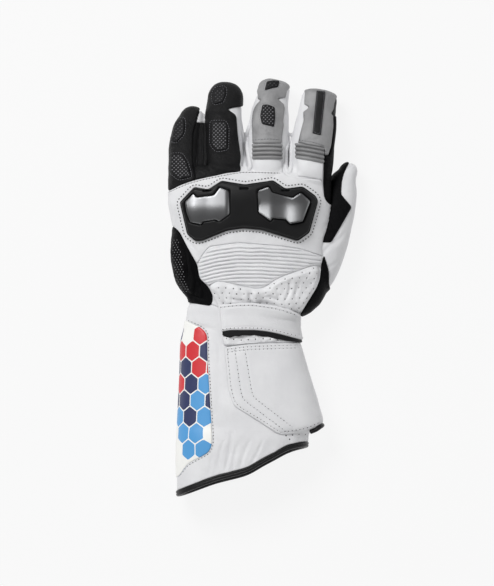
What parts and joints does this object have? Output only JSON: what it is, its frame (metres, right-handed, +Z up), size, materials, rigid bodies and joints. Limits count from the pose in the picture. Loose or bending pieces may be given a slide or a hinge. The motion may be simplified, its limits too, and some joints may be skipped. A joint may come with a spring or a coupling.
{
  "type": "motorcycle gauntlet glove",
  "caption": "Left-hand gauntlet racing glove in white, black and grey leather, with a hard knuckle guard and a wrist strap, lying palm down.",
  "frame": {"origin": "middle of the box round the whole glove, on the surface that it lies on", "axes": "+Y along the fingers, +X towards the thumb, +Z up out of the back of the hand"},
  "size_m": [0.1458, 0.3217, 0.0516],
  "materials": {
    "white_leather": "satin, fine grain",
    "black_leather": "matt, fine grain",
    "silver_leather": "soft metallic sheen",
    "black_mesh": "perforated, matt",
    "guard_plastic": "fine texture",
    "satin_metal": "satin",
    "printed_leather": "printed, satin",
    "black_binding": "satin"
  },
  "bodies": {
    "root": {"hand_shell": "white_leather", "pinky_stall": "black_leather", "ring_stall": "white_leather", "middle_stall": "white_leather", "index_stall": "white_leather", "thumb_stall": "white_leather", "gauntlet": "white_leather", "hem_binding": "black_binding", "back_panel": "white_leather", "back_rib_panel": "white_leather", "wrist_panel": "white_leather", "outer_side_panel": "black_leather", "thumb_side_strip": "black_leather", "index_side_strip": "black_leather", "thumb_web": "black_leather", "pinky_back": "black_leather", "ring_back": "black_leather", "finger_bridge": "black_leather", "middle_back": "silver_leather", "index_back": "silver_leather", "middle_ribs": "silver_leather", "index_ribs": "silver_leather", "middle_base": "white_leather", "index_base": "white_leather", "index_patch": "black_mesh", "knuckle_guard": "guard_plastic", "guard_insert_left": "satin_metal", "guard_insert_right": "satin_metal", "strap_tape": "black_binding", "wrist_strap": "white_leather", "cuff_flap": "white_leather", "flap_piping": "black_binding", "print_panel": "printed_leather", "pinky_pad_upper": "black_mesh", "pinky_pad_lower": "black_mesh", "ring_pad_upper": "black_mesh", "ring_pad_lower": "black_mesh", "middle_pad_upper": "black_mesh", "middle_pad_lower": "black_mesh"}
  },
  "joints": []
}
